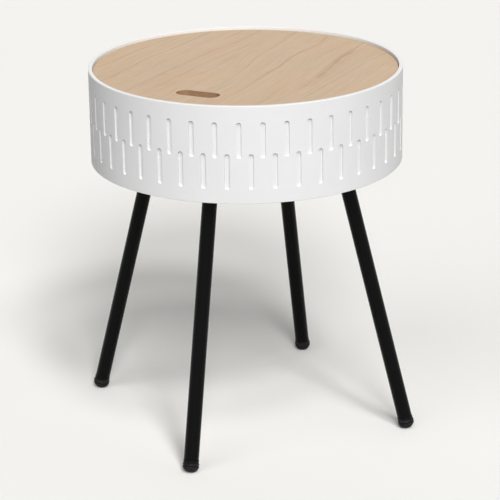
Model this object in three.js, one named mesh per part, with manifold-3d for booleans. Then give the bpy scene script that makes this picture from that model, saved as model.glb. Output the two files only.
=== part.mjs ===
// Round side table with a storage drum, a lift-off veneered lid and four splayed tube legs.
// Millimetres, +Z up, origin on the floor under the middle of the drum, one leg toward -Y.

import * as THREE from 'three';
import { mergeVertices } from 'three/addons/utils/BufferGeometryUtils.js';
import Module from 'manifold-3d';

const wasm = await Module();
wasm.setup();
const radians = THREE.MathUtils.degToRad;

// Overall sizes
const tableHeight = 450;
const drumDiameter = 380;
const drumHeight = 116;

// Clearances
const glueFilm = 0.1;
const looseFit = 0.3;
const seatGap = 0.25;
const cutOverrun = 4;

// Drum wall
const wallThickness = 5;
const rimRound = 1;
const baseRound = 0.6;
const roundSteps = 2;

// Blind slots in the wall, in two staggered rows
const slotsPerRow = 43;
const slotLength = 42.4;
const slotWidth = 6;
const slotDepth = 2.5;
const slotTopMargin = 19.3;
const rowOverlap = 5;
const slotTurn = radians(0.94);
const slotEndSteps = 5;
const wallFacets = 2 * slotsPerRow;

// Floor panel of the drum
const panelThickness = 12;
const panelRecess = 6;

// Lid
const lidRecess = 4;
const lidGap = 0.7;
const coreThickness = 11;
const veneerThickness = 0.4;
const lidFacets = 90;
const lidTurn = radians(-4.6);
const fingerSlotLength = 54;
const fingerSlotWidth = 22;
const fingerSlotSetback = 41.7;
const fingerSlotSteps = 9;

// Rest blocks under the lid
const restCount = 4;
const restWidth = 34;
const restDepth = 14;
const restHeight = 18;
const restBevel = 3;

// Legs
const legNames = ['front', 'right', 'back', 'left'];
const splay = radians(14.4);
const tubeDiameter = 18;
const tubeWall = 1.2;
const tubeFacets = 24;

// Foot caps
const domeProud = 1;
const domeHeight = 7.4;
const domeSteps = 5;
const footFlatDepth = 0.5;
const lipHeight = 0.3;
const seamHeight = 1.6;
const seamDepth = 1.2;
const flareProud = 1.4;
const flareHeight = 2.6;
const flareBevel = 0.5;
const collarProud = 0.3;
const collarHeight = 6;
const stemLength = 16;
const stemBevel = 0.8;
const footFacets = 16;

// Threaded inserts in the tops of the tubes
const insertLength = 22;
const insertFlange = 2;
const insertFacets = 16;

// Mounting plates
const plateSide = 56;
const plateThickness = 2.5;
const plateInset = 35.6;
const plateCorner = 6;
const bossRadius = 11;
const bossShow = 5.5;
const bossFacets = 24;
const holeFacets = 8;

// Threaded studs
const studDiameter = 8;
const studBevel = 0.8;
const studFacets = 12;
const studInInsert = 18;

// Plate screws
const screwSpacing = 42;
const screwShank = 4;
const screwLength = 12;
const screwTip = 3;
const screwHead = 8;
const screwHeadHeight = 2.6;
const screwHeadTopShare = 0.62;
const screwHeadRimShare = 0.4;
const screwFacets = 8;

// Finishes
const finish = (color, roughness, metalness) =>
  new THREE.MeshStandardMaterial({ color, roughness, metalness });
const whitePaint = finish(0xeceae6, 0.55, 0);
const oakVeneer = finish(0xd0b89e, 0.6, 0);
const rawBoard = finish(0xa07a58, 0.85, 0);
const blackLacquer = finish(0x161616, 0.42, 0.1);
const blackPlastic = finish(0x1b1b1b, 0.5, 0);
const zincSteel = finish(0xb9babd, 0.35, 0.9);

// Sizes that follow from the ones above
const drumRadius = drumDiameter / 2;
const wallInnerRadius = drumRadius - wallThickness;
const drumBottom = tableHeight - drumHeight;
const panelBottom = drumBottom + panelRecess;
const lidTop = tableHeight - lidRecess;
const veneerBase = lidTop - veneerThickness;
const coreBase = veneerBase - glueFilm - coreThickness;
const lidBottom = coreBase - glueFilm - veneerThickness;
const lidRadius = wallInnerRadius - lidGap;
const tubeRadius = tubeDiameter / 2;
const tubeBore = tubeRadius - tubeWall;
const domeRadius = tubeRadius + domeProud;
const flareRadius = tubeRadius + flareProud;
const collarRadius = tubeRadius + collarProud;
const plateBottom = panelBottom - glueFilm - plateThickness;
const plateCentre = wallInnerRadius - plateInset - plateSide / 2;
const legFloorRadius = plateCentre + plateBottom * Math.tan(splay);

// Turns a geometry into a solid that can be cut and joined.
function toSolid(geometry) {
  const bare = geometry.clone();
  bare.deleteAttribute('normal');
  bare.deleteAttribute('uv');
  const merged = mergeVertices(bare);
  const vertProperties = new Float32Array(merged.attributes.position.array);
  const triVerts = new Uint32Array(merged.index.array);
  return new wasm.Manifold(new wasm.Mesh({ numProp: 3, vertProperties, triVerts }));
}

// Turns a cut or joined solid back into a geometry.
function toGeometry(solid) {
  const mesh = solid.getMesh();
  const geometry = new THREE.BufferGeometry();
  geometry.setAttribute('position', new THREE.BufferAttribute(mesh.vertProperties, mesh.numProp));
  geometry.setIndex(new THREE.BufferAttribute(mesh.triVerts, 1));
  return geometry;
}

// Points of a circle, the first one at the given angle from +X.
function circlePoints(radius, facets, startAngle = 0) {
  const points = [];
  for (let i = 0; i < facets; i += 1) {
    const angle = startAngle + 2 * Math.PI * i / facets;
    points.push(new THREE.Vector2(radius * Math.cos(angle), radius * Math.sin(angle)));
  }
  return points;
}

// Points of an upright oblong with round ends, centred on the origin.
function oblongPoints(width, length, endSteps) {
  const radius = width / 2;
  const straight = length / 2 - radius;
  const points = [];
  for (const end of [1, -1]) {
    for (let i = 0; i <= endSteps; i += 1) {
      const angle = Math.PI * i / endSteps;
      const x = end * radius * Math.cos(angle);
      const y = end * (straight + radius * Math.sin(angle));
      points.push(new THREE.Vector2(x, y));
    }
  }
  return points;
}

// A flat plate of the given outline and holes, standing on z = 0.
function plateGeometry(outline, thickness, holes = []) {
  const shape = new THREE.Shape(outline);
  shape.holes = holes.map((points) => new THREE.Path(points));
  return new THREE.ExtrudeGeometry(shape, { depth: thickness, bevelEnabled: false });
}

// A solid turned about +Z from a profile of radius and height points.
function turned(profile, facets, startAngle = 0) {
  const points = profile.map(([radius, height]) => new THREE.Vector2(radius, height));
  const geometry = new THREE.LatheGeometry(points, facets, startAngle);
  return geometry.rotateX(Math.PI / 2);
}

// Points of a quarter round between two directions about a centre.
function roundPoints(centreRadius, centreHeight, size, fromAngle, toAngle, steps) {
  const points = [];
  for (let i = 0; i <= steps; i += 1) {
    const angle = fromAngle + (toAngle - fromAngle) * i / steps;
    points.push([centreRadius + size * Math.cos(angle), centreHeight + size * Math.sin(angle)]);
  }
  return points;
}

// A named sub-part in its group.
function addPart(group, name, geometry, material) {
  const mesh = new THREE.Mesh(geometry, material);
  mesh.name = name;
  group.add(mesh);
  return mesh;
}

const table = new THREE.Group();

// Drum wall: a ring with rounded edges, cut by the two rows of blind slots
function drumWall() {
  const quarter = Math.PI / 2;
  const profile = [
    ...roundPoints(drumRadius - baseRound, drumBottom + baseRound, baseRound, -quarter, 0, 1),
    ...roundPoints(drumRadius - rimRound, tableHeight - rimRound, rimRound, 0, quarter, roundSteps),
    ...roundPoints(wallInnerRadius + rimRound, tableHeight - rimRound, rimRound,
      quarter, Math.PI, roundSteps),
    ...roundPoints(wallInnerRadius + baseRound, drumBottom + baseRound, baseRound,
      Math.PI, Math.PI + quarter, 1),
  ];
  profile.push(profile[0]);
  const facetAngle = 2 * Math.PI / wallFacets;
  const ring = toSolid(turned(profile, wallFacets, slotTurn + facetAngle / 2));

  const outline = oblongPoints(slotWidth, slotLength, slotEndSteps);
  const cutter = plateGeometry(outline, slotDepth + cutOverrun);
  cutter.rotateX(Math.PI / 2);
  cutter.translate(0, slotDepth - drumRadius, 0);
  const topRow = tableHeight - slotTopMargin - slotLength / 2;
  const rowHeights = [topRow, topRow - slotLength + rowOverlap];
  const cutters = [];
  for (let i = 0; i < wallFacets; i += 1) {
    const slot = cutter.clone();
    slot.translate(0, 0, rowHeights[i % rowHeights.length]);
    slot.rotateZ(slotTurn + i * facetAngle);
    cutters.push(toSolid(slot));
  }
  return toGeometry(ring.subtract(wasm.Manifold.union(cutters)));
}
addPart(table, 'drum_wall', drumWall(), whitePaint);

// Floor panel: a disc glued inside the wall, with pilot holes for the plate screws
const wallFacetStart = slotTurn - Math.PI / 2 + Math.PI / wallFacets;
const pilotDepth = screwLength + looseFit;

function screwPlaces() {
  const half = screwSpacing / 2;
  return [[half, half], [-half, half], [-half, -half], [half, -half]];
}

function bottomPanel() {
  const outline = circlePoints(wallInnerRadius - glueFilm, wallFacets, wallFacetStart);
  let panel = toSolid(plateGeometry(outline, panelThickness).translate(0, 0, panelBottom));
  const pilot = circlePoints(screwShank / 2 + looseFit, holeFacets);
  const drill = plateGeometry(pilot, pilotDepth).translate(0, 0, plateBottom);
  const holes = [];
  legNames.forEach((name, i) => {
    for (const [x, y] of screwPlaces()) {
      const hole = drill.clone().translate(plateCentre + x, y, 0);
      hole.rotateZ((i - 1) * Math.PI / 2);
      holes.push(toSolid(hole));
    }
  });
  panel = panel.subtract(wasm.Manifold.union(holes));
  return toGeometry(panel);
}
addPart(table, 'bottom_panel', bottomPanel(), whitePaint);

// Rest blocks: bevelled blocks glued to the inside of the wall, just under the lid
function restBlock(angle) {
  const inner = wallInnerRadius - restDepth;
  const half = restWidth / 2;
  const outline = [
    [inner + restBevel, -half],
    [wallInnerRadius + cutOverrun, -half],
    [wallInnerRadius + cutOverrun, half],
    [inner + restBevel, half],
    [inner, half - restBevel],
    [inner, restBevel - half],
  ].map(([x, y]) => new THREE.Vector2(x, y));
  const base = lidBottom - seatGap - restHeight;
  const block = plateGeometry(outline, restHeight).rotateZ(angle).translate(0, 0, base);
  const bore = circlePoints(wallInnerRadius - glueFilm, wallFacets, wallFacetStart);
  const well = plateGeometry(bore, restHeight + 2 * cutOverrun).translate(0, 0, base - cutOverrun);
  return toGeometry(toSolid(block).intersect(toSolid(well)));
}
for (let i = 0; i < restCount; i += 1) {
  const angle = 2 * Math.PI * (i + 1 / 2) / restCount;
  addPart(table, `lid_rest_${i + 1}`, restBlock(angle), whitePaint);
}

// Lid: a fibreboard core between two veneers, all three cut by the finger slot
const lid = new THREE.Group();
lid.rotation.z = lidTurn;
table.add(lid);

function lidLayer(thickness) {
  const slot = oblongPoints(fingerSlotWidth, fingerSlotLength, fingerSlotSteps);
  const slotCentre = lidRadius - fingerSlotSetback - fingerSlotWidth / 2;
  const hole = slot.map((point) => new THREE.Vector2(point.y, point.x - slotCentre));
  return plateGeometry(circlePoints(lidRadius, lidFacets), thickness, [hole]);
}
addPart(lid, 'lid_veneer_top', lidLayer(veneerThickness), oakVeneer).position.z = veneerBase;
addPart(lid, 'lid_core', lidLayer(coreThickness), rawBoard).position.z = coreBase;
addPart(lid, 'lid_veneer_bottom', lidLayer(veneerThickness), oakVeneer).position.z = lidBottom;

// Places along a leg's axis, measured from where the axis meets the floor
const domeReach = Math.hypot(domeRadius * Math.sin(splay), domeHeight * Math.cos(splay));
const domeCentre = (domeReach - footFlatDepth) / Math.cos(splay);
const seamBase = domeCentre + lipHeight;
const collarBase = seamBase + seamHeight;
const tubeBase = collarBase + collarHeight + seatGap;
const bossEnd = (plateBottom - bossRadius * Math.sin(splay) - bossShow) / Math.cos(splay);
const flangeBase = bossEnd - seatGap - insertFlange;
const tubeTop = flangeBase - seatGap;

// Foot cap: a stem in the tube, a flared collar, a seam and a dome cut flat where it stands
function footCap() {
  const stem = tubeBore - looseFit;
  const stemTop = tubeBase + stemLength;
  const collarTop = collarBase + collarHeight;
  const dome = [];
  for (let i = 0; i < domeSteps; i += 1) {
    const angle = Math.PI / 2 * (1 - i / domeSteps);
    dome.push([domeRadius * Math.cos(angle), domeCentre - domeHeight * Math.sin(angle)]);
  }
  dome[0][0] = 0;
  const profile = [
    ...dome,
    [domeRadius, domeCentre],
    [domeRadius, seamBase],
    [domeRadius - seamDepth, seamBase],
    [domeRadius - seamDepth, collarBase],
    [flareRadius - flareBevel, collarBase],
    [flareRadius, collarBase + flareBevel],
    [collarRadius, collarBase + flareHeight],
    [collarRadius, collarTop],
    [stem, collarTop],
    [stem, stemTop - stemBevel],
    [stem - stemBevel, stemTop],
    [0, stemTop],
  ];
  const cap = turned(profile, footFacets).rotateY(-splay);
  const ground = new THREE.BoxGeometry(2 * drumRadius, 2 * drumRadius, drumRadius);
  ground.translate(0, 0, -drumRadius / 2);
  return toGeometry(toSolid(cap).subtract(toSolid(ground)));
}

// Tube: a plain round tube with both ends open
function legTube() {
  return turned([
    [tubeBore, tubeBase],
    [tubeRadius, tubeBase],
    [tubeRadius, tubeTop],
    [tubeBore, tubeTop],
    [tubeBore, tubeBase],
  ], tubeFacets);
}

// Insert: a sleeve in the top of the tube, with a flange on its rim
function legInsert() {
  const bore = studDiameter / 2 + looseFit;
  const body = tubeBore - looseFit;
  const low = flangeBase - insertLength;
  const high = flangeBase + insertFlange;
  return turned([
    [bore, low],
    [body, low],
    [body, flangeBase],
    [tubeRadius, flangeBase],
    [tubeRadius, high],
    [bore, high],
    [bore, low],
  ], insertFacets);
}

// Stud: from inside the insert to just under the floor panel
function legStud() {
  const radius = studDiameter / 2;
  const low = flangeBase - studInInsert;
  const high = (panelBottom - seatGap) / Math.cos(splay) - radius * Math.tan(splay);
  return turned([
    [0, low],
    [radius - studBevel, low],
    [radius, low + studBevel],
    [radius, high - studBevel],
    [radius - studBevel, high],
    [0, high],
  ], studFacets);
}

// Mounting plate: a flat plate with four screw holes, joined to a boss along the leg's axis
function legPlate() {
  const half = plateSide / 2;
  const cut = half - plateCorner;
  const outline = [
    [half, -cut], [half, cut], [cut, half], [-cut, half],
    [-half, cut], [-half, -cut], [-cut, -half], [cut, -half],
  ].map(([x, y]) => new THREE.Vector2(x, y));
  const holeRadius = screwShank / 2 + looseFit;
  const holes = screwPlaces().map(([x, y]) =>
    circlePoints(holeRadius, holeFacets).map((point) => new THREE.Vector2(point.x + x, point.y + y)));
  const plate = plateGeometry(outline, plateThickness, holes).translate(plateCentre, 0, plateBottom);

  const rod = (radius, low, high, facets) => {
    const bar = turned([[0, low], [radius, low], [radius, high], [0, high]], facets);
    return toSolid(bar.rotateY(-splay).translate(legFloorRadius, 0, 0));
  };
  const reach = tableHeight / Math.cos(splay);
  const boss = rod(bossRadius, bossEnd, reach, bossFacets);
  const bore = rod(studDiameter / 2 + looseFit, bossEnd - cutOverrun, reach + cutOverrun, studFacets);
  const above = new THREE.BoxGeometry(2 * drumDiameter, 2 * drumDiameter, tableHeight);
  above.translate(0, 0, plateBottom + plateThickness + tableHeight / 2);
  return toGeometry(toSolid(plate).add(boss).subtract(bore).subtract(toSolid(above)));
}

// Plate screw: a pan head under the plate and a pointed shank up into the panel
function plateScrew() {
  const shank = screwShank / 2;
  const head = screwHead / 2;
  const seat = plateBottom - glueFilm;
  const low = seat - screwHeadHeight;
  const rim = low + screwHeadHeight * screwHeadRimShare;
  const tip = seat + screwLength;
  return turned([
    [0, low],
    [head * screwHeadTopShare, low],
    [head, rim],
    [head, seat],
    [shank, seat],
    [shank, tip - screwTip],
    [0, tip],
  ], screwFacets);
}

const footShape = footCap();
const tubeShape = legTube();
const insertShape = legInsert();
const studShape = legStud();
const plateShape = legPlate();
const screwShape = plateScrew();

legNames.forEach((name, i) => {
  const corner = new THREE.Group();
  corner.rotation.z = (i - 1) * Math.PI / 2;
  table.add(corner);

  addPart(corner, `leg_plate_${name}`, plateShape, zincSteel);
  screwPlaces().forEach(([x, y], j) => {
    const screw = addPart(corner, `plate_screw_${name}_${j + 1}`, screwShape, zincSteel);
    screw.position.set(plateCentre + x, y, 0);
  });
  addPart(corner, `foot_cap_${name}`, footShape, blackPlastic).position.x = legFloorRadius;

  const leg = new THREE.Group();
  leg.position.x = legFloorRadius;
  leg.rotation.y = -splay;
  corner.add(leg);
  addPart(leg, `leg_tube_${name}`, tubeShape, blackLacquer);
  addPart(leg, `leg_insert_${name}`, insertShape, zincSteel);
  addPart(leg, `leg_stud_${name}`, studShape, zincSteel);
});

export default table;
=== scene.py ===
import math

import bmesh
import bpy
from mathutils import Matrix, Vector
from mathutils.geometry import tessellate_polygon

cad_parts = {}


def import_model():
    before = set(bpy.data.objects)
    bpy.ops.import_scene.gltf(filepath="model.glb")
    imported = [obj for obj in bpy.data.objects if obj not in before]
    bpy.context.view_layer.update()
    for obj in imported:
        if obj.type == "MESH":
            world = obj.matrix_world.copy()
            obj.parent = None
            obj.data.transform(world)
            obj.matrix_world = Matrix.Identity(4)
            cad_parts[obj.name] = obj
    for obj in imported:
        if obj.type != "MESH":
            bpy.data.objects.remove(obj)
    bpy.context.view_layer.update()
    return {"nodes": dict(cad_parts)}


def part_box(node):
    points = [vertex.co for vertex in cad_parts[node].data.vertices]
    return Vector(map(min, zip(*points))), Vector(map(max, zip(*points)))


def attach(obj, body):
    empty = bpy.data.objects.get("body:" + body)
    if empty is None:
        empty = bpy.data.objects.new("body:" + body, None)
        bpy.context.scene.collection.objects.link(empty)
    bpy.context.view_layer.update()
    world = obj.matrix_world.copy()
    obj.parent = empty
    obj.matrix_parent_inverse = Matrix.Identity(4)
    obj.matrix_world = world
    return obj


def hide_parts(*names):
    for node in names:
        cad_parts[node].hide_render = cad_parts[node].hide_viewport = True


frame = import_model()

MM = 0.001
UP = Vector((0, 0, 1))

# Photograph: its frame, and the camera that was fitted to it
IMAGE_PIXELS = 500
FOCAL_PIXELS = 2263.5
SENSOR_WIDTH = 36
CAMERA_DISTANCE = 2813.97 * MM
CAMERA_AZIMUTH = math.radians(20.34)
CAMERA_ELEVATION = math.radians(19.486)
CAMERA_ROLL = math.radians(-0.787)
TARGET_RIGHT = 2.369 * MM
TARGET_HEIGHT = 210.86 * MM

# Drum wall
WALL_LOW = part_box("drum_wall")[0].z
WALL_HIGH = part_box("drum_wall")[1].z
DRUM_RADIUS = 190 * MM
WALL_INNER_RADIUS = 185 * MM
RIM_ROUND = 1 * MM
BASE_ROUND = 0.6 * MM
ROUND_STEPS = 5
PANEL_EDGE = 0.5 * MM

# Blind slots in the wall
SLOTS_PER_ROW = 43
SLOT_LENGTH = 42.4 * MM
SLOT_WIDTH = 6 * MM
SLOT_DEPTH = 2.5 * MM
SLOT_TOP_MARGIN = 19.3 * MM
ROW_OVERLAP = 5 * MM
SLOT_TURN = math.radians(0.94)
SLOT_EDGE = 0.15 * MM
SLOT_FILLET = 0.25 * MM
SLOT_EDGE_STEPS = 3
SLOT_FILLET_STEPS = 3
COLUMN_STEPS = 8
LEVEL_STEP = 2 * MM

# Lid
LID_RADIUS = 184.3 * MM
LID_TURN = math.radians(-4.6)
LID_SEGMENTS = 256
FINGER_LENGTH = 54 * MM
FINGER_WIDTH = 22 * MM
FINGER_CENTRE = LID_RADIUS - 41.7 * MM - FINGER_WIDTH / 2
FINGER_STEPS = 24
VENEER_EDGE = 0.15 * MM
CORE_EDGE = 0.2 * MM
LAYER_OVERLAP = 0.08 * MM
GRAIN_ANGLE = math.radians(84.6) + LID_TURN

# Blocks that the lid rests on
REST_DEPTH = 14 * MM
REST_HALF_WIDTH = 17 * MM
REST_BEVEL = 3 * MM
REST_CORNER = 1 * MM
REST_EDGE = 0.8 * MM
REST_GAP = 0.1 * MM
REST_BACK_STEPS = 10

# Legs
LEG_NAMES = ("front", "right", "back", "left")
SPLAY = math.radians(14.4)
PLATE_LOW, PLATE_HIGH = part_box("leg_plate_right")
PLATE_CENTRE = (PLATE_LOW.x + PLATE_HIGH.x) / 2
PLATE_SIDE = PLATE_HIGH.x - PLATE_LOW.x
PLATE_THICKNESS = 2.5 * MM
PLATE_BOTTOM = PLATE_HIGH.z - PLATE_THICKNESS
PLATE_CORNER = 6 * MM
PLATE_CORNER_STEPS = 8
PLATE_EDGE = 0.3 * MM
LEG_FLOOR_RADIUS = PLATE_CENTRE + PLATE_BOTTOM * math.tan(SPLAY)
TUBE_RADIUS = 9 * MM
TUBE_WALL = 1.2 * MM
TUBE_EDGE = 0.3 * MM
SEAT_GAP = 0.25 * MM
BOSS_RADIUS = 11 * MM
BOSS_BORE = 4.3 * MM
BOSS_SHOW = 5.5 * MM
BOSS_ROUND = 0.8 * MM
BOSS_BORE_ROUND = 0.4 * MM
BOSS_TOP_ROUND = 0.2 * MM
INSERT_FLANGE = 2 * MM
LEG_SEGMENTS = 64

# Foot caps
DOME_RADIUS = TUBE_RADIUS + 0.9 * MM
DOME_HEIGHT = 7.4 * MM
DOME_STEPS = 12
FOOT_FLAT_DEPTH = 0.5 * MM
LIP_HEIGHT = 0.3 * MM
LIP_ROUND = 0.29 * MM
SEAM_HEIGHT = 1.6 * MM
SEAM_DEPTH = 2 * MM
SEAM_ROUND = 0.1 * MM
FLARE_RADIUS = TUBE_RADIUS + 1.35 * MM
FLARE_HEIGHT = 1.7 * MM
FLARE_CURVE = 3 * MM
FLARE_ROUND = 0.3 * MM
COLLAR_RADIUS = TUBE_RADIUS + 0.3 * MM
COLLAR_HEIGHT = 6 * MM
COLLAR_ROUND = 0.25 * MM
STEM_LENGTH = 16 * MM
STEM_GAP = 0.3 * MM
STEM_ROUND = 0.8 * MM
STEM_FOOT_ROUND = 0.1 * MM
# Painted sheen on the foot caps, standing in for reflections on the dome and flare: full below the first
# height, fading between the two heights, and this share of it above
PAINTED_SHEEN_LOW = 11 * MM
PAINTED_SHEEN_HIGH = 13.5 * MM
PAINTED_SHEEN_ABOVE = 0.1

# Plate screws
SCREW_SPACING = 42 * MM
SCREW_HEAD_RADIUS = 4 * MM
SCREW_HEAD_HEIGHT = 2.6 * MM
SCREW_CROWN_ROUND = 1.5 * MM
SCREW_SEAT_ROUND = 0.15 * MM
SCREW_ROUND_STEPS = 8
SCREW_GAP = 0.1 * MM
SCREW_HOLE_RADIUS = 2.3 * MM
SCREW_SEGMENTS = 32
FIRST_SPIN = math.radians(23)
SPIN_STEP = math.radians(37)
RECESS_LENGTH = 4.4 * MM
RECESS_WIDTH = 0.9 * MM
RECESS_DEPTH = 1.4 * MM
RECESS_CORNER = 0.15 * MM
RECESS_CORNER_STEPS = 3
RECESS_EDGE = 0.1 * MM
SHARP_ANGLE = math.radians(35)

# Colours, as linear red, green and blue
PAINT_COLORS = ((0.835, 0.835, 0.832), (0.862, 0.862, 0.86))
LACQUER_COLORS = ((0.0020, 0.0020, 0.0021), (0.0034, 0.0034, 0.0036))
PLASTIC_COLORS = ((0.002, 0.002, 0.002), (0.004, 0.004, 0.004))
# Colour of the painted sheen that stands in for reflections on the foot caps
PAINTED_SHEEN_COLOR = (0.034, 0.034, 0.034)
ZINC_COLORS = ((0.52, 0.53, 0.55), (0.7, 0.7, 0.7))
BOARD_COLORS = ((0.32, 0.178, 0.094), (0.52, 0.315, 0.188))
BAND_COLORS = ((0.570, 0.401, 0.256), (0.621, 0.463, 0.320))
PATCH_COLOR = (0.546, 0.430, 0.296)
STRIPE_COLOR = (0.515, 0.359, 0.228)
THREAD_COLOR = (0.447, 0.311, 0.192)
FIBRE_COLOR = (0.447, 0.296, 0.181)
VEIN_COLOR = (0.369, 0.200, 0.103)

# Most of what a noise texture gives lies between these
NOISE_LOW = 0.3
NOISE_HIGH = 0.7

# Fibreboard: how flat its layers are pressed, and the share that they have in its pattern
BOARD_LAYERING = (1, 1, 9)
BOARD_LAYER_SHARE = 0.6

# Veneer patterns: the noise values between which each fades in, and how strongly it shows
FIBRE_STRENGTH = 0.3
STRIPE_RANGE = (0.35, 0.65)
STRIPE_STRENGTH = 0.4
THREAD_RANGE = (0.46, 0.72)
THREAD_STRENGTH = 0.5
PATCH_RANGE = (0.38, 0.66)
PATCH_STRENGTH = 0.75
PORE_RANGE = (0.64, 0.8)
PORE_STRENGTH = 0.12
PORE_RELIEF = 0.6
RING_WIDTH = 0.022
RING_STRENGTH = 0.16

# The threads are fainter on one side of the lid. The shares are places across the grain.
THREAD_SIDE_SHARES = (0.4, 0.75)
THREAD_SIDE_STRENGTHS = (0.25, 1)

# The grain lines come and go with a noise texture
VEIN_RANGE = (0.35, 0.65)
VEIN_STRENGTHS = (0.5, 1.15)

# Lamps, with angles in degrees and directions given from the camera: side, height, level, softness
LAMPS = {
    "key_high": (25, 64, 0.14, 10),
    "key": (22, 50, 0.28, 10),
    "key_low": (8, 35, 0.52, 17),
    "side": (85, 32, 0.1, 50),
    "fill": (-41, 50, 0.22, 45),
    "back": (175, 38, 0.15, 80),
}
SKY_LEVEL = 0.03
BACKGROUND = (0.904, 0.896, 0.863)
FLOOR_COLOR = (0.921, 0.912, 0.879)
FLOOR_BOUNCE = 0.45
FLOOR_SIDE = 60

# A point of a turned profile nearer to the axis than this lies on it
ON_AXIS = 1e-9


class Shape:
    """Points, their normals and the faces between them, made into one smooth-shaded mesh."""

    def __init__(self):
        self.points = []
        self.normals = []
        self.faces = []

    def point(self, place, normal):
        self.points.append(Vector(place))
        self.normals.append(Vector(normal).normalized())
        return len(self.points) - 1

    def ribbon(self, first, second, closed=True):
        """Faces between two rows of points, on the outside when first runs anticlockwise below second."""
        count = len(first)
        for i in range(count if closed else count - 1):
            j = (i + 1) % count
            self.faces.append((first[i], first[j], second[j], second[i]))

    def fan(self, row, tip):
        for i, index in enumerate(row):
            self.faces.append((index, row[(i + 1) % len(row)], tip))

    def make(self, name, matrix=None):
        mesh = bpy.data.meshes.new(name)
        mesh.from_pydata(self.points, [], self.faces)
        mesh.shade_smooth()
        mesh.normals_split_custom_set_from_vertices(self.normals)
        if matrix is not None:
            mesh.transform(matrix)
        thing = bpy.data.objects.new(name, mesh)
        bpy.context.scene.collection.objects.link(thing)
        return thing


def arc(centre, radius, start, end, steps):
    """Points of an arc in a plane with the directions from its centre."""
    made = []
    for i in range(steps + 1):
        angle = start + (end - start) * i / steps
        direction = Vector((math.cos(angle), math.sin(angle)))
        made.append((Vector(centre) + radius * direction, direction))
    return made


def rounded(corners, steps=4, closed=True):
    """Outline through (x, y, radius) corners with each corner rounded: points with outward normals.

    The corners run anticlockwise. A corner of radius zero gives one point with the normal of each side.
    """
    made = []
    count = len(corners)
    for i, (x, y, radius) in enumerate(corners):
        here = Vector((x, y))
        if not closed and i in (0, count - 1):
            other = Vector(corners[1 if i == 0 else count - 2][:2])
            along = (other - here) if i == 0 else (here - other)
            along.normalize()
            made.append((here, Vector((along.y, -along.x))))
            continue
        before = (here - Vector(corners[i - 1][:2])).normalized()
        after = (Vector(corners[(i + 1) % count][:2]) - here).normalized()
        normal_in = Vector((before.y, -before.x))
        normal_out = Vector((after.y, -after.x))
        if radius == 0:
            made += [(here, normal_in), (here, normal_out)]
            continue
        turn = math.atan2(before.cross(after), before.dot(after))
        reach = radius * math.tan(abs(turn) / 2)
        side = 1 if turn > 0 else -1
        centre = here - before * reach - normal_in * radius * side
        for k in range(steps + 1):
            share = k / steps
            angle = turn * share
            normal = Matrix.Rotation(angle, 2) @ normal_in
            made.append((centre + normal * radius * side, normal))
    return made


def turned(name, profile, segments, matrix=None):
    """A solid turned about Z from a profile of ((radius, height), normal), run from the bottom up outside.

    A profile that starts and ends on the axis is closed there, and any other closes on itself.
    """
    shape = Shape()
    rows = []
    for (radius, height), normal in profile:
        if radius < ON_AXIS:
            rows.append([shape.point((0, 0, height), (0, 0, normal[1]))])
            continue
        row = []
        for i in range(segments):
            angle = 2 * math.pi * i / segments
            c, s = math.cos(angle), math.sin(angle)
            facing = (normal[0] * c, normal[0] * s, normal[1])
            row.append(shape.point((radius * c, radius * s, height), facing))
        rows.append(row)
    on_axis = len(rows[0]) == 1
    pairs = list(zip(rows, rows[1:])) + ([] if on_axis else [(rows[-1], rows[0])])
    for first, second in pairs:
        if len(first) == 1:
            shape.fan(second[::-1], first[0])
        elif len(second) == 1:
            shape.fan(first, second[0])
        else:
            shape.ribbon(first, second)
    return shape.make(name, matrix)


def slab(name, loops, low, high, edge, steps=3, matrix=None):
    """A flat board between two heights, its edges rounded.

    Loops hold (point, outward normal) pairs: the outline runs anticlockwise, and each hole clockwise.
    """
    shape = Shape()
    bottoms, tops = [], []
    for loop in loops:
        rows = []
        for i in range(2 * steps + 2):
            if i <= steps:
                angle = -math.pi / 2 * (1 - i / steps)
                level = low + edge * (1 + math.sin(angle))
            else:
                angle = math.pi / 2 * (i - steps - 1) / steps
                level = high - edge * (1 - math.sin(angle))
            inset = edge * (1 - math.cos(angle))
            rows.append([
                shape.point(
                    (*(point - normal * inset), level),
                    (normal.x * math.cos(angle), normal.y * math.cos(angle), math.sin(angle)))
                for point, normal in loop])
        for first, second in zip(rows, rows[1:]):
            shape.ribbon(first, second)
        bottoms.append(rows[0])
        tops.append(rows[-1])
    for rows, up in ((bottoms, False), (tops, True)):
        flat = [index for row in rows for index in row]
        for corners in tessellate_polygon([[shape.points[i] for i in row] for row in rows]):
            face = [flat[i] for i in corners]
            a, b, c = (shape.points[i] for i in face)
            if ((b - a).cross(c - a).z > 0) != up:
                face.reverse()
            shape.faces.append(face)
    return shape.make(name, matrix)


def circle(radius, segments, centre=(0, 0), hole=False):
    """Loop of a circle for a slab."""
    made = []
    for i in range(segments):
        angle = 2 * math.pi * i / segments * (-1 if hole else 1)
        direction = Vector((math.cos(angle), math.sin(angle)))
        made.append((Vector(centre) + direction * radius, -direction if hole else direction))
    return made


def dress(piece, body, nodes, material):
    """Gives a new piece its body, the CAD nodes that it stands for and its material."""
    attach(piece, body)
    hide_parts(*nodes)
    piece.data.materials.clear()
    piece.data.materials.append(material)
    return piece


def put(tree, kind, inputs=None, **settings):
    """A new shader node, with its inputs joined to sockets or set to values."""
    node = tree.nodes.new("ShaderNode" + kind)
    for key, value in settings.items():
        setattr(node, key, value)
    for key, value in (inputs or {}).items():
        if isinstance(value, bpy.types.NodeSocket):
            tree.links.new(value, node.inputs[key])
        else:
            node.inputs[key].default_value = value
    return node


def calc(tree, operation, *values, clamp=False):
    """Result of a Math node."""
    return put(tree, "Math", dict(enumerate(values)), operation=operation, use_clamp=clamp).outputs[0]


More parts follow.
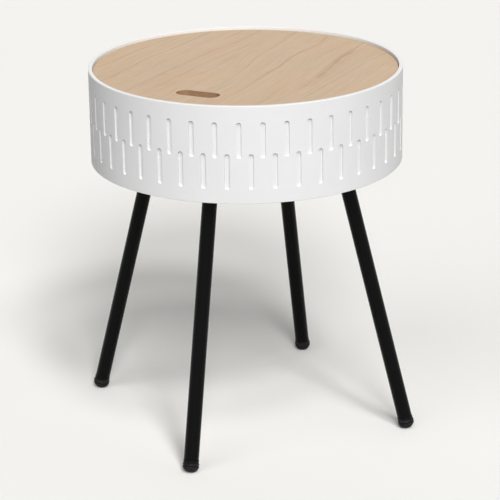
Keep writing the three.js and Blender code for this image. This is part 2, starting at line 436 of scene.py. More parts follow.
def remap(tree, value, from_low, from_high, to_low, to_high, smooth=False):
    """Result of a Map Range node, clamped at both ends."""
    ranges = {
        "Value": value, "From Min": from_low, "From Max": from_high, "To Min": to_low, "To Max": to_high}
    kind = "SMOOTHSTEP" if smooth else "LINEAR"
    return put(tree, "MapRange", ranges, interpolation_type=kind).outputs[0]


def spread(tree, texture, low, high):
    """A noise texture spread between two values."""
    return remap(tree, texture, NOISE_LOW, NOISE_HIGH, low, high)


def blend_colors(tree, factor, first, second):
    """Result of a Mix node between two colours."""
    node = put(tree, "Mix", {0: factor}, data_type="RGBA")
    for key, value in ((6, first), (7, second)):
        if isinstance(value, bpy.types.NodeSocket):
            tree.links.new(value, node.inputs[key])
        else:
            node.inputs[key].default_value = (*value, 1)
    return node.outputs[2]


def noise(tree, vector, scale, detail=2, roughness=0.5, seed=0):
    """Result of a Noise Texture. The seed moves it to another place."""
    moved = put(tree, "VectorMath", {0: vector, 1: (seed, seed, seed)}, operation="ADD").outputs[0]
    settings = {"Vector": moved, "Scale": scale, "Detail": detail, "Roughness": roughness}
    return put(tree, "TexNoise", settings, noise_dimensions="3D").outputs[0]


def new_material(name):
    """A material with its tree, its Principled shader and its object coordinates."""
    material = bpy.data.materials.new(name)
    material.use_nodes = True
    tree = material.node_tree
    shader = tree.nodes["Principled BSDF"]
    place = put(tree, "TexCoord").outputs["Object"]
    return material, tree, shader, place


def surface(tree, shader, color, roughness, specular, height, depth):
    """Joins a colour, a roughness and a height to the shader, and sets its specular level.

    A roughness that is the same all over is set on the shader itself. The depth is that of the relief.
    """
    tree.links.new(color, shader.inputs["Base Color"])
    if isinstance(roughness, bpy.types.NodeSocket):
        tree.links.new(roughness, shader.inputs["Roughness"])
    else:
        shader.inputs["Roughness"].default_value = roughness
    shader.inputs["Specular IOR Level"].default_value = specular
    relief = put(tree, "Bump", {"Strength": 1, "Distance": depth, "Height": height})
    tree.links.new(relief.outputs[0], shader.inputs["Normal"])


def white_paint():
    """Satin white paint on smooth board: faint orange peel, faint cloudiness."""
    material, tree, shader, place = new_material("white_paint")
    cloud = noise(tree, place, scale=14, detail=3)
    peel = noise(tree, place, scale=900, seed=3)
    color = blend_colors(tree, spread(tree, cloud, 0, 1), *PAINT_COLORS)
    surface(
        tree, shader, color, roughness=spread(tree, peel, 0.42, 0.52), specular=0.05,
        height=peel, depth=0.03 * MM)
    return material


def black_lacquer():
    """Satin black powder coat: fine even texture."""
    material, tree, shader, place = new_material("black_lacquer")
    grain = noise(tree, place, scale=1800, seed=1)
    color = blend_colors(tree, grain, *LACQUER_COLORS)
    surface(
        tree, shader, color, roughness=spread(tree, grain, 0.2, 0.27), specular=0.08,
        height=grain, depth=0.02 * MM)
    return material


def black_plastic():
    """Moulded black plastic: slightly mottled gloss, with a painted sheen that makes it paler near the
    floor.
    """
    material, tree, shader, place = new_material("black_plastic")
    mottle = noise(tree, place, scale=420, detail=3, seed=5)
    # Painted sheen: a paler colour on the lower part of each foot cap, standing in for reflections on its
    # dome and flare
    height = put(tree, "SeparateXYZ", {0: place}).outputs[2]
    painted_sheen = remap(tree, height, PAINTED_SHEEN_LOW, PAINTED_SHEEN_HIGH, 1, PAINTED_SHEEN_ABOVE, smooth=True)
    painted_sheen = calc(tree, "MULTIPLY", painted_sheen, mottle)
    color = blend_colors(tree, mottle, *PLASTIC_COLORS)
    color = blend_colors(tree, painted_sheen, color, PAINTED_SHEEN_COLOR)
    surface(
        tree, shader, color, roughness=spread(tree, mottle, 0.42, 0.54), specular=0.08,
        height=mottle, depth=0.02 * MM)
    return material


def zinc_steel():
    """Bright zinc plating: faint spangle in colour and gloss."""
    material, tree, shader, place = new_material("zinc_steel")
    shader.inputs["Metallic"].default_value = 1
    spangle = noise(tree, place, scale=300, detail=4, seed=7)
    color = blend_colors(tree, spangle, *ZINC_COLORS)
    surface(
        tree, shader, color, roughness=spread(tree, spangle, 0.24, 0.42), specular=0.5,
        height=spangle, depth=0.01 * MM)
    return material


def fibreboard():
    """Bare brown fibreboard, pressed in thin flat layers."""
    material, tree, shader, place = new_material("fibreboard")
    flat = put(tree, "VectorMath", {0: place, 1: BOARD_LAYERING}, operation="MULTIPLY").outputs[0]
    layers = noise(tree, flat, scale=160, detail=4, roughness=0.6, seed=2)
    fibres = noise(tree, place, scale=2200, seed=4)
    layers = calc(tree, "MULTIPLY", layers, BOARD_LAYER_SHARE)
    fibres = calc(tree, "MULTIPLY", fibres, 1 - BOARD_LAYER_SHARE)
    both = calc(tree, "ADD", layers, fibres)
    color = blend_colors(tree, spread(tree, both, 0, 1), *BOARD_COLORS)
    surface(tree, shader, color, roughness=0.85, specular=0.25, height=both, depth=0.08 * MM)
    return material


# The lid's width in millimetres, and how far a stroke fades in and out past and within its ends
VENEER_SIZE = 2 * LID_RADIUS / MM
FADE_PAST = 0.03
FADE_WITHIN = 0.06

# Grain lines of the veneer. Points are shares of the lid's radius, along and across the grain.
# Strokes on a line: width in millimetres, strength, first and last place along it, offset across it.
GRAIN_LINES = (
    ([(-1, -0.72), (-0.4, -0.70), (0, -0.68), (0.2, -0.67), (0.44, -0.65), (0.6, -0.656), (1, -0.63)],
     [(2.2, 0.22, -0.5, 0.9, 0)]),
    ([(-1, -0.6), (-0.67, -0.594), (-0.4, -0.586), (-0.26, -0.576), (-0.1, -0.556), (0.06, -0.536),
      (0.2, -0.508), (0.32, -0.482), (0.44, -0.458), (0.58, -0.438), (0.74, -0.42), (1, -0.39)],
     [(2.0, 0.32, -0.75, 0.95, 0), (7, 0.24, -0.1, 0.75, 0), (16, 0.2, -0.3, 0.75, -2)]),
    ([(-1, -0.31), (-0.8, -0.29), (-0.6, -0.27), (-0.44, -0.26), (-0.28, -0.236), (-0.1, -0.21),
      (0.1, -0.194), (0.24, -0.17), (0.4, -0.144), (0.56, -0.136), (0.7, -0.144), (0.84, -0.12), (1, -0.09)],
     [(1.6, 0.45, -1, 1, 0), (5, 0.14, -0.3, 1, 0), (1.5, 0.5, 0.74, 0.92, 15.5)]),
    ([(-1, -0.1), (-0.6, -0.087), (-0.3, -0.062), (-0.1, -0.03), (0.08, 0.012), (0.24, 0.054), (0.4, 0.08),
      (0.56, 0.094), (0.7, 0.117), (0.82, 0.14), (1, 0.16)],
     [(1.5, 0.28, -1, 1, 0), (4.5, 0.14, -0.2, 1, 0)]),
    ([(-1, 0.24), (-0.86, 0.25), (-0.5, 0.27), (-0.2, 0.276), (0.1, 0.284), (0.3, 0.276), (0.46, 0.27),
      (1, 0.29)],
     [(1.4, 0.42, -1, 0.6, 0), (1.2, 0.25, -0.8, 0.4, -4)]),
    ([(-1, 0.37), (-0.84, 0.376), (-0.6, 0.38), (-0.4, 0.39), (0, 0.396), (0.2, 0.4), (0.4, 0.39),
      (0.54, 0.38), (0.68, 0.386), (1, 0.41)],
     [(1.5, 0.45, -1, 1, 0), (1.3, 0.32, -0.9, -0.1, -5.5), (3.5, 0.12, -0.6, 0.9, 3)]),
    ([(-1, 0.64), (-0.7, 0.648), (-0.52, 0.656), (-0.3, 0.67), (-0.08, 0.686), (0.14, 0.674), (0.4, 0.68),
      (0.68, 0.684), (1, 0.68)],
     [(1.8, 0.5, -0.9, 0.8, 0), (1.4, 0.25, -0.3, 0.1, 11), (1.4, 0.3, 0.5, 0.9, -33)]),
    ([(-1, 0.86), (-0.46, 0.856), (-0.3, 0.844), (-0.12, 0.86), (0.04, 0.864), (0.2, 0.85), (0.47, 0.856),
      (1, 0.86)],
     [(2.2, 0.5, -0.5, 0.5, 0)]),
)


def grain_curve(tree, along, points):
    """Place across the grain of a grain line, from 0 to 1, at each place along it."""
    node = put(tree, "FloatCurve", {"Value": along})
    curve = node.mapping.curves[0]
    shares = [((1 + x) / 2, (1 + y) / 2) for x, y in points]
    curve.points[0].location = shares[0]
    curve.points[1].location = shares[-1]
    for share in shares[1:-1]:
        curve.points.new(*share)
    node.mapping.update()
    return node.outputs[0]


def straightened(tree, across, lines):
    """Place across the grain, warped so that the grain lines run straight."""
    middles = [0.5 + points[len(points) // 2][1] / 2 for points, strokes in GRAIN_LINES]
    before = calc(tree, "SUBTRACT", lines[0], 1)
    straight = remap(tree, across, before, lines[0], middles[0] - 1, middles[0])
    for i in range(len(lines) - 1):
        part = remap(tree, across, lines[i], lines[i + 1], 0, middles[i + 1] - middles[i])
        straight = calc(tree, "ADD", straight, part)
    part = remap(tree, across, lines[-1], calc(tree, "ADD", lines[-1], 1), 0, 1)
    return calc(tree, "ADD", straight, part)


def vein_strokes(tree, along, across, lines):
    """Strength of the dark strokes on the grain lines."""
    veins = None
    for (points, strokes), line in zip(GRAIN_LINES, lines):
        for width, strength, first, last, offset in strokes:
            gap = calc(tree, "SUBTRACT", across, line)
            gap = calc(tree, "ABSOLUTE", calc(tree, "SUBTRACT", gap, offset / VENEER_SIZE))
            stroke = remap(tree, gap, 0, width / VENEER_SIZE, strength, 0, smooth=True)
            begin = (1 + first) / 2
            finish = (1 + last) / 2
            start = remap(tree, along, begin - FADE_PAST, begin + FADE_WITHIN, 0, 1, smooth=True)
            stop = remap(tree, along, finish - FADE_WITHIN, finish + FADE_PAST, 1, 0, smooth=True)
            stroke = calc(tree, "MULTIPLY", calc(tree, "MULTIPLY", stroke, start), stop)
            veins = stroke if veins is None else calc(tree, "ADD", veins, stroke)
    return veins


def wood_veneer():
    """Pale veneer with traced grain lines, and streaks, pores and soft bands that follow them."""
    material, tree, shader, place = new_material("wood_veneer")
    direction = (math.cos(GRAIN_ANGLE), math.sin(GRAIN_ANGLE), 0)
    sideways = (-direction[1], direction[0], 0)

    def share_along(axis):
        """Place along an axis, from 0 to 1 across the lid."""
        reach = put(tree, "VectorMath", {0: place, 1: axis}, operation="DOT_PRODUCT").outputs["Value"]
        return calc(tree, "MULTIPLY_ADD", reach, 0.5 / LID_RADIUS, 0.5)

    along = share_along(direction)
    across = share_along(sideways)
    lines = [grain_curve(tree, along, points) for points, strokes in GRAIN_LINES]
    flow = put(tree, "CombineXYZ", {
        0: calc(tree, "MULTIPLY", straightened(tree, across, lines), VENEER_SIZE),
        1: calc(tree, "MULTIPLY", along, VENEER_SIZE)}).outputs[0]

    def streaks(width, length, detail, seed):
        """Noise drawn out along the grain, with its spots' width and length in millimetres."""
        scaled = put(tree, "VectorMath", {0: flow, 1: (1 / width, 1 / length, 1)}, operation="MULTIPLY")
        return noise(tree, scaled.outputs[0], scale=1, detail=detail, seed=seed)

    fibres = streaks(width=0.9, length=22, detail=3, seed=11)
    stripes = streaks(width=5, length=150, detail=3, seed=23)
    threads = streaks(width=1.7, length=190, detail=3, seed=97)
    patches = streaks(width=42, length=95, detail=2, seed=61)
    bands = streaks(width=26, length=170, detail=2, seed=37)
    rings = streaks(width=16, length=420, detail=2, seed=53)
    pores = streaks(width=0.5, length=7, detail=1, seed=71)
    fading = streaks(width=30, length=26, detail=2, seed=89)

    rings = calc(tree, "ABSOLUTE", calc(tree, "SUBTRACT", rings, 0.5))
    rings = remap(tree, rings, 0, RING_WIDTH, 1, 0, smooth=True)
    pores = remap(tree, pores, *PORE_RANGE, 0, 1)
    threads = remap(tree, threads, *THREAD_RANGE, 0, THREAD_STRENGTH)
    sides = remap(tree, across, *THREAD_SIDE_SHARES, *THREAD_SIDE_STRENGTHS)
    threads = calc(tree, "MULTIPLY", threads, sides)
    veins = vein_strokes(tree, along, across, lines)
    veins = calc(tree, "MULTIPLY", veins, remap(tree, fading, *VEIN_RANGE, *VEIN_STRENGTHS))

    ground = blend_colors(tree, spread(tree, bands, 0, 1), *BAND_COLORS)
    patches = remap(tree, patches, *PATCH_RANGE, 0, PATCH_STRENGTH)
    ground = blend_colors(tree, patches, ground, PATCH_COLOR)
    stripes = remap(tree, stripes, *STRIPE_RANGE, 0, STRIPE_STRENGTH)
    ground = blend_colors(tree, stripes, ground, STRIPE_COLOR)
    ground = blend_colors(tree, threads, ground, THREAD_COLOR)
    ground = blend_colors(tree, spread(tree, fibres, 0, FIBRE_STRENGTH), ground, FIBRE_COLOR)
    rings = calc(tree, "MULTIPLY", rings, RING_STRENGTH)
    dark = calc(tree, "ADD", rings, calc(tree, "MULTIPLY", pores, PORE_STRENGTH))
    dark = calc(tree, "ADD", dark, veins, clamp=True)
    color = blend_colors(tree, dark, ground, VEIN_COLOR)
    height = calc(tree, "SUBTRACT", fibres, calc(tree, "MULTIPLY", pores, PORE_RELIEF))
    surface(
        tree, shader, color, roughness=spread(tree, fibres, 0.5, 0.62), specular=0.35,
        height=height, depth=0.04 * MM)
    return material


PAINT = white_paint()
LACQUER = black_lacquer()
PLASTIC = black_plastic()
ZINC = zinc_steel()
BOARD = fibreboard()
VENEER = wood_veneer()


def wall_levels(marks):
    """Heights of the wall's rows of points: the marks, with even steps between them."""
    levels = []
    for low, high in zip(marks, marks[1:]):
        steps = max(1, round((high - low) / LEVEL_STEP))
        levels += [low + (high - low) * i / steps for i in range(steps)]
    return levels + [marks[-1]]


def slot_rings():
    """Loops down a slot: offset out from its outline, depth, and lean of the normal towards its middle."""
    rings = []
    for i in range(SLOT_EDGE_STEPS + 1):
        lean = math.pi / 2 * i / SLOT_EDGE_STEPS
        rings.append((SLOT_EDGE * (1 - math.sin(lean)), SLOT_EDGE * (1 - math.cos(lean)), lean))
    for i in range(SLOT_FILLET_STEPS + 1):
        lean = math.pi / 2 * (1 - i / SLOT_FILLET_STEPS)
        depth = SLOT_DEPTH - SLOT_FILLET * (1 - math.cos(lean))
        rings.append((SLOT_FILLET * (math.sin(lean) - 1), depth, lean))
    return rings


def wall_profile():
    """The wall's section from the outside over the rim, down the inside and round the base."""
    top = WALL_HIGH - RIM_ROUND
    base = WALL_LOW + BASE_ROUND
    half_turn = math.pi
    quarter = math.pi / 2
    profile = arc((DRUM_RADIUS - RIM_ROUND, top), RIM_ROUND, 0, quarter, ROUND_STEPS)[1:]
    profile += arc((WALL_INNER_RADIUS + RIM_ROUND, top), RIM_ROUND, quarter, half_turn, ROUND_STEPS)
    profile += arc((WALL_INNER_RADIUS + BASE_ROUND, base), BASE_ROUND, half_turn, 3 * quarter, ROUND_STEPS)
    profile += arc((DRUM_RADIUS - BASE_ROUND, base), BASE_ROUND, -quarter, 0, ROUND_STEPS)[:-1]
    return profile


def drum_wall():
    """The wall as one skin: a grid of points outside, with a rounded slot let into each column."""
    shape = Shape()
    columns = 2 * SLOTS_PER_ROW
    total = columns * COLUMN_STEPS
    pitch = 2 * math.pi / columns
    radius = SLOT_WIDTH / 2
    straight = SLOT_LENGTH / 2 - radius
    top_row = WALL_HIGH - SLOT_TOP_MARGIN - SLOT_LENGTH / 2
    centres = (top_row, top_row - SLOT_LENGTH + ROW_OVERLAP)
    zone = straight + SLOT_WIDTH
    marks = {WALL_LOW + BASE_ROUND, WALL_HIGH - RIM_ROUND}
    for centre in centres:
        marks |= {centre - zone, centre - straight, centre + straight, centre + zone}
    marks = sorted(marks)
    levels = wall_levels(marks)

    def angle_at(step):
        return -math.pi / 2 + SLOT_TURN + pitch * (step / COLUMN_STEPS - 0.5)

    def skin_point(angle, height, depth, inward=None, share=0.0):
        """A point of the skin. Its normal leans by share from straight out towards inward."""
        outward = Vector((math.cos(angle), math.sin(angle), 0))
        normal = outward
        if inward is not None:
            sideways = Vector((-outward.y, outward.x, 0))
            lean = sideways * inward.x + UP * inward.y
            normal = outward * math.cos(share) + lean * math.sin(share)
        return shape.point(outward * (DRUM_RADIUS - depth) + UP * height, normal)

    grid = {}

    def grid_point(step, level):
        key = (step % total, level)
        if key not in grid:
            grid[key] = skin_point(angle_at(step), levels[level], 0)
        return grid[key]

    def add_slot(left, right, low, high, centre):
        """The part of a column round its slot: loops down into the slot, then the slot's floor."""
        loop = [(right, level) for level in range(low, high + 1)]
        loop += [(step, high) for step in range(right - 1, left, -1)]
        loop += [(left, level) for level in range(high, low - 1, -1)]
        loop += [(step, low) for step in range(left + 1, right)]
        middle = (angle_at(left) + angle_at(right)) / 2
        outer = [grid_point(*place) for place in loop]
        for offset, depth, lean in slot_rings():
            inner = []
            for step, level in loop:
                x = (angle_at(step) - middle) * DRUM_RADIUS
                z = levels[level] - centre
                base = max(-straight, min(straight, z))
                outwards = Vector((x, z - base)).normalized()
                spot = Vector((0, base)) + outwards * (radius + offset)
                inner.append(skin_point(
                    middle + spot.x / DRUM_RADIUS, centre + spot.y, depth, -outwards, lean))
            shape.ribbon(outer, inner)
            outer = inner
        side = high - low + 1
        far = len(loop) - COLUMN_STEPS + 1
        for i in range(side - 1):
            shape.faces.append((outer[i], outer[i + 1], outer[far - 2 - i], outer[far - 1 - i]))
        top = outer[side - 1:side + COLUMN_STEPS]
        bottom = [outer[far - 1], *outer[far:], outer[0]]
        for row in (top, bottom):
            for i in range(COLUMN_STEPS // 2):
                face = [row[i], row[i + 1], row[COLUMN_STEPS - 1 - i], row[COLUMN_STEPS - i]]
                shape.faces.append(list(dict.fromkeys(face)))

    for column in range(columns):
        centre = centres[column % 2]
        low = min(range(len(levels)), key=lambda i: abs(levels[i] - centre + zone))
        high = min(range(len(levels)), key=lambda i: abs(levels[i] - centre - zone))
        left, right = column * COLUMN_STEPS, (column + 1) * COLUMN_STEPS
        for level in [*range(low), *range(high, len(levels) - 1)]:
            for step in range(left, right):
                shape.faces.append((
                    grid_point(step, level), grid_point(step + 1, level),
                    grid_point(step + 1, level + 1), grid_point(step, level + 1)))
        add_slot(left, right, low, high, centre)

    below = [grid_point(step, len(levels) - 1) for step in range(total)]
    for (reach, height), normal in wall_profile():
        row = []
        for step in range(total):
            outward = Vector((math.cos(angle_at(step)), math.sin(angle_at(step)), 0))
            row.append(shape.point(outward * reach + UP * height, outward * normal.x + UP * normal.y))
        shape.ribbon(below, row)
        below = row
    shape.ribbon(below, [grid_point(step, 0) for step in range(total)])
    dress(shape.make("wall_skin"), "stand", ["drum_wall"], PAINT)


def bottom_panel():
    low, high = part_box("bottom_panel")
    panel = slab("floor_board", [circle(high.x, LID_SEGMENTS)], low.z, high.z, PANEL_EDGE)
    dress(panel, "stand", ["bottom_panel"], PAINT)


def rest_blocks():
    """Bevelled blocks inside the wall, their backs curved to fit it."""
    back = WALL_INNER_RADIUS - REST_GAP
    inner = WALL_INNER_RADIUS - REST_DEPTH
    side = REST_HALF_WIDTH
    half_angle = math.asin(side / back)
    outline = rounded([
        (back * math.cos(half_angle), side, 0),
        (inner + REST_BEVEL, side, REST_CORNER),
        (inner, side - REST_BEVEL, REST_CORNER),
        (inner, REST_BEVEL - side, REST_CORNER),
        (inner + REST_BEVEL, -side, REST_CORNER),
        (back * math.cos(half_angle), -side, 0),
    ], closed=False)
    outline += arc((0, 0), back, -half_angle, half_angle, REST_BACK_STEPS)[1:-1]
    for i in range(4):
        name = f"lid_rest_{i + 1}"
        low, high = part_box(name)
        turn = Matrix.Rotation(math.pi / 4 + i * math.pi / 2, 4, "Z")
        block = slab(f"rest_block_{i + 1}", [outline], low.z, high.z, REST_EDGE, matrix=turn)
        dress(block, "stand", [name], PAINT)


def lid():
    """Core between two veneers, each with the finger slot."""
    half = FINGER_LENGTH / 2 - FINGER_WIDTH / 2
    radius = FINGER_WIDTH / 2
    slot = arc((half, 0), radius, -math.pi / 2, math.pi / 2, FINGER_STEPS)
    slot += arc((-half, 0), radius, math.pi / 2, 1.5 * math.pi, FINGER_STEPS)
    hole = [(point + Vector((0, -FINGER_CENTRE)), -normal) for point, normal in reversed(slot)]
    loops = [circle(LID_RADIUS, LID_SEGMENTS), hole]
    turn = Matrix.Rotation(LID_TURN, 4, "Z")
    for node, name, edge, grow, slot_name, material in (
            ("lid_veneer_top", "top_veneer", VENEER_EDGE, 0, "wood_veneer", VENEER),
            ("lid_core", "core_board", CORE_EDGE, LAYER_OVERLAP, "fibreboard", BOARD),
            ("lid_veneer_bottom", "under_veneer", VENEER_EDGE, 0, "wood_veneer", VENEER)):
        low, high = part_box(node)
        layer = slab(name, loops, low.z - grow, high.z + grow, edge, matrix=turn)
        dress(layer, "lid", [node], material)


def leg_matrices():
    """For each leg: its name, the turn of its corner and the place and tilt of its axis."""
    for i, name in enumerate(LEG_NAMES):
        corner = Matrix.Rotation((i - 1) * math.pi / 2, 4, "Z")
        axis = corner @ Matrix.Translation((LEG_FLOOR_RADIUS, 0, 0)) @ Matrix.Rotation(-SPLAY, 4, "Y")
        yield name, corner, axis


DOME_REACH = math.hypot(DOME_RADIUS * math.sin(SPLAY), DOME_HEIGHT * math.cos(SPLAY))
DOME_CENTRE = (DOME_REACH - FOOT_FLAT_DEPTH) / math.cos(SPLAY)
SEAM_BASE = DOME_CENTRE + LIP_HEIGHT
COLLAR_BASE = SEAM_BASE + SEAM_HEIGHT
TUBE_BASE = COLLAR_BASE + COLLAR_HEIGHT + SEAT_GAP
BOSS_END = (PLATE_BOTTOM - BOSS_RADIUS * math.sin(SPLAY) - BOSS_SHOW) / math.cos(SPLAY)
FLANGE_BASE = BOSS_END - SEAT_GAP - INSERT_FLANGE
TUBE_TOP = FLANGE_BASE - SEAT_GAP


def cut_below_floor(thing):
    """Cuts a piece flat at the floor and closes it, with a crisp edge round the cut."""
    shape = bmesh.new()
    shape.from_mesh(thing.data)
    everything = shape.verts[:] + shape.edges[:] + shape.faces[:]
    cut = bmesh.ops.bisect_plane(
        shape, geom=everything, plane_co=(0, 0, 0), plane_no=UP, clear_inner=True)["geom_cut"]
    edges = [item for item in cut if isinstance(item, bmesh.types.BMEdge)]
    bmesh.ops.edgeloop_fill(shape, edges=edges)
    for edge in edges:
        edge.smooth = False
    shape.to_mesh(thing.data)
    shape.free()


def foot_caps():
    """Domed foot, seam, collar that flares towards the seam, and the stem inside the tube."""
    stem = TUBE_RADIUS - TUBE_WALL - STEM_GAP
    seam = DOME_RADIUS - SEAM_DEPTH
    collar_top = COLLAR_BASE + COLLAR_HEIGHT
    stem_top = collar_top + STEM_LENGTH
    dome = []
    for i in range(DOME_STEPS):
        angle = math.pi / 2 * i / DOME_STEPS
        point = Vector((DOME_RADIUS * math.sin(angle), DOME_CENTRE - DOME_HEIGHT * math.cos(angle)))
        normal = Vector((math.sin(angle) / DOME_RADIUS, -math.cos(angle) / DOME_HEIGHT)).normalized()
        dome.append((point, normal))
    upper = rounded([
        (DOME_RADIUS, DOME_CENTRE, 0),
        (DOME_RADIUS, SEAM_BASE, LIP_ROUND),
        (seam, SEAM_BASE, SEAM_ROUND),
        (seam, COLLAR_BASE, SEAM_ROUND),
        (FLARE_RADIUS, COLLAR_BASE, FLARE_ROUND),
        (COLLAR_RADIUS, COLLAR_BASE + FLARE_HEIGHT, FLARE_CURVE),
        (COLLAR_RADIUS, collar_top, COLLAR_ROUND),
        (stem, collar_top, STEM_FOOT_ROUND),
        (stem, stem_top, STEM_ROUND),
        (0, stem_top, 0),
    ], closed=False)
    for name, corner, axis in leg_matrices():
        cap = turned(f"foot_{name}", dome + upper, LEG_SEGMENTS, axis)
        cut_below_floor(cap)
        dress(cap, "stand", [f"foot_cap_{name}"], PLASTIC)


def leg_tubes():
    bore = TUBE_RADIUS - TUBE_WALL
    corners = ((bore, TUBE_BASE), (TUBE_RADIUS, TUBE_BASE), (TUBE_RADIUS, TUBE_TOP), (bore, TUBE_TOP))
    profile = rounded([(*corner, TUBE_EDGE) for corner in corners])
    for name, corner, axis in leg_matrices():
        tube = turned(f"tube_{name}", profile, LEG_SEGMENTS, axis)
        dress(tube, "stand", [f"leg_tube_{name}"], LACQUER)


def plate_outline():
    half = PLATE_SIDE / 2
    corners = ((half, -half), (half, half), (-half, half), (-half, -half))
    return rounded([(*corner, PLATE_CORNER) for corner in corners], PLATE_CORNER_STEPS)


def screw_places():
    half = SCREW_SPACING / 2
    return [(half, half), (-half, half), (-half, -half), (half, -half)]


def leg_plates():
    """Each mounting plate with its screw holes, and the slanted boss under it."""
    loops = [plate_outline()]
    loops += [circle(SCREW_HOLE_RADIUS, SCREW_SEGMENTS, place, hole=True) for place in screw_places()]
    boss_top = (PLATE_BOTTOM + PLATE_THICKNESS / 2) / math.cos(SPLAY)
    boss_profile = rounded([
        (BOSS_BORE, BOSS_END, BOSS_BORE_ROUND),
        (BOSS_RADIUS, BOSS_END, BOSS_ROUND),
        (BOSS_RADIUS, boss_top, BOSS_TOP_ROUND),
        (BOSS_BORE, boss_top, BOSS_TOP_ROUND),
    ])
    for name, corner, axis in leg_matrices():
        seat = corner @ Matrix.Translation((PLATE_CENTRE, 0, 0))
        top = PLATE_BOTTOM + PLATE_THICKNESS
        plate = slab(f"plate_{name}", loops, PLATE_BOTTOM, top, PLATE_EDGE, matrix=seat)
        dress(plate, "stand", [f"leg_plate_{name}"], ZINC)
        boss = turned(f"boss_{name}", boss_profile, LEG_SEGMENTS, axis)
        dress(boss, "stand", [f"leg_plate_{name}"], ZINC)


def cross_recess():
    """Cutter for a screw's cross recess: a slab with a cross-shaped outline."""
    long = RECESS_LENGTH / 2
    short = RECESS_WIDTH / 2
    corners = []
    for quarter in range(4):
        turn = Matrix.Rotation(quarter * math.pi / 2, 2)
        for x, y in ((long, -short), (long, short), (short, short)):
            spot = turn @ Vector((x, y))
            corners.append((spot.x, spot.y, RECESS_CORNER))
    outline = rounded(corners, RECESS_CORNER_STEPS)
    return slab("recess_cutter", [outline], -RECESS_DEPTH, RECESS_DEPTH, RECESS_EDGE)


def screw_head():
    """Pan head with a cross recess, its crown down, and its seat at height zero."""
    crown = -SCREW_HEAD_HEIGHT
    profile = rounded([
        (0, crown, 0),
        (SCREW_HEAD_RADIUS, crown, SCREW_CROWN_ROUND),
        (SCREW_HEAD_RADIUS, 0, SCREW_SEAT_ROUND),
        (0, 0, 0),
    ], SCREW_ROUND_STEPS, closed=False)
    head = turned("screw_pattern", profile, SCREW_SEGMENTS)
    cutter = cross_recess()
    cutter.location.z = crown
    cut = head.modifiers.new("recess", "BOOLEAN")
    cut.operation = "DIFFERENCE"
    cut.solver = "EXACT"
    cut.object = cutter
    bpy.context.view_layer.update()
    mesh = bpy.data.meshes.new_from_object(head.evaluated_get(bpy.context.evaluated_depsgraph_get()))
    for thing in (head, cutter):
        bpy.data.objects.remove(thing)
    shape = bmesh.new()
    shape.from_mesh(mesh)
    for edge in shape.edges:
        edge.smooth = edge.calc_face_angle(0) < SHARP_ANGLE
    shape.to_mesh(mesh)
    shape.free()
    return mesh


def plate_screws():
    pattern = screw_head()
    seat = PLATE_BOTTOM - SCREW_GAP
    for name, corner, axis in leg_matrices():
        for i, (x, y) in enumerate(screw_places()):
            mesh = pattern.copy()
            spin = Matrix.Rotation(FIRST_SPIN + SPIN_STEP * i, 4, "Z")
            mesh.transform(corner @ Matrix.Translation((PLATE_CENTRE + x, y, seat)) @ spin)
            screw = bpy.data.objects.new(f"screw_{name}_{i + 1}", mesh)
            bpy.context.scene.collection.objects.link(screw)
            dress(screw, "stand", [f"plate_screw_{name}_{i + 1}"], ZINC)


def hidden_steel():
    """The studs and inserts keep their CAD shape and get the plated finish."""
    for name in LEG_NAMES:
        for node in (f"leg_stud_{name}", f"leg_insert_{name}"):
            mesh = frame["nodes"][node].data
            mesh.materials.clear()
            mesh.materials.append(ZINC)


def direction_at(side, height):
    """Direction from the object at an angle beside the camera's and at a height angle."""
    azimuth = CAMERA_AZIMUTH + side
    flat = math.cos(height)
    return Vector((math.sin(azimuth) * flat, -math.cos(azimuth) * flat, math.sin(height)))


def add_sun(name, side, height, level, softness):
    """A sun lamp, its angles in degrees. A white face turned to it shows its level as a share of white."""
    lamp = bpy.data.lights.new(name, "SUN")
    lamp.energy = level * math.pi
    lamp.angle = math.radians(softness)
    thing = bpy.data.objects.new(name, lamp)
    thing.rotation_mode = "QUATERNION"
    towards = direction_at(math.radians(side), math.radians(height))
    thing.rotation_quaternion = towards.to_track_quat("Z", "Y")
    bpy.context.scene.collection.objects.link(thing)


def visible_background(tree):
    """1 on rays from the camera, and on mirror and glass rays; 0 on the light that falls on things."""
    path = put(tree, "LightPath").outputs
    seen = calc(tree, "MAXIMUM", path["Is Camera Ray"], path["Is Glossy Ray"])
    return calc(tree, "MAXIMUM", seen, path["Is Transmission Ray"])


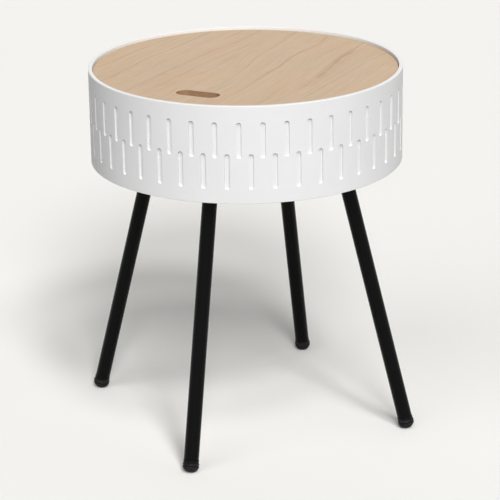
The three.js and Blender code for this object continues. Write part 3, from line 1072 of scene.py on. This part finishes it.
def world():
    scene_world = bpy.data.worlds.new("studio")
    bpy.context.scene.world = scene_world
    scene_world.use_nodes = True
    tree = scene_world.node_tree
    tree.nodes.clear()
    sky = put(tree, "Background", {"Color": (1, 1, 1, 1), "Strength": SKY_LEVEL})
    seen = put(tree, "Background", {"Color": (*BACKGROUND, 1), "Strength": 1})
    mix = put(tree, "MixShader", {0: visible_background(tree), 1: sky.outputs[0], 2: seen.outputs[0]})
    put(tree, "OutputWorld", {"Surface": mix.outputs[0]})


def floor():
    """A wide pale floor that takes the object's shadow."""
    half = FLOOR_SIDE / 2
    mesh = bpy.data.meshes.new("floor")
    corners = [(-half, -half, 0), (half, -half, 0), (half, half, 0), (-half, half, 0)]
    mesh.from_pydata(corners, [], [(0, 1, 2, 3)])
    material = bpy.data.materials.new("floor")
    material.use_nodes = True
    tree = material.node_tree
    tree.nodes.clear()
    seen = put(tree, "BsdfDiffuse", {"Color": (*FLOOR_COLOR, 1)})
    bounce = put(tree, "BsdfDiffuse", {"Color": (FLOOR_BOUNCE, FLOOR_BOUNCE, FLOOR_BOUNCE, 1)})
    mix = put(tree, "MixShader", {0: visible_background(tree), 1: bounce.outputs[0], 2: seen.outputs[0]})
    put(tree, "OutputMaterial", {"Surface": mix.outputs[0]})
    mesh.materials.append(material)
    thing = bpy.data.objects.new("floor", mesh)
    bpy.context.scene.collection.objects.link(thing)


def camera():
    """The photograph's view: position, tilt, roll and focal length."""
    back = direction_at(0, CAMERA_ELEVATION)
    right = Vector((math.cos(CAMERA_AZIMUTH), math.sin(CAMERA_AZIMUTH), 0))
    up = back.cross(right)
    target = right * TARGET_RIGHT + UP * TARGET_HEIGHT
    c, s = math.cos(CAMERA_ROLL), math.sin(CAMERA_ROLL)
    axes = (right * c + up * s, up * c - right * s, back)
    data = bpy.data.cameras.new("camera")
    data.sensor_width = SENSOR_WIDTH
    data.lens = FOCAL_PIXELS / IMAGE_PIXELS * SENSOR_WIDTH
    thing = bpy.data.objects.new("camera", data)
    place = Matrix.Translation(target + back * CAMERA_DISTANCE)
    thing.matrix_world = place @ Matrix(axes).transposed().to_4x4()
    bpy.context.scene.collection.objects.link(thing)
    bpy.context.scene.camera = thing


camera()
world()
for lamp_name, lamp_values in LAMPS.items():
    add_sun(lamp_name, *lamp_values)
floor()
bpy.context.scene.view_settings.view_transform = "Standard"

drum_wall()
bottom_panel()
rest_blocks()
lid()
leg_tubes()
foot_caps()
leg_plates()
plate_screws()
hidden_steel()
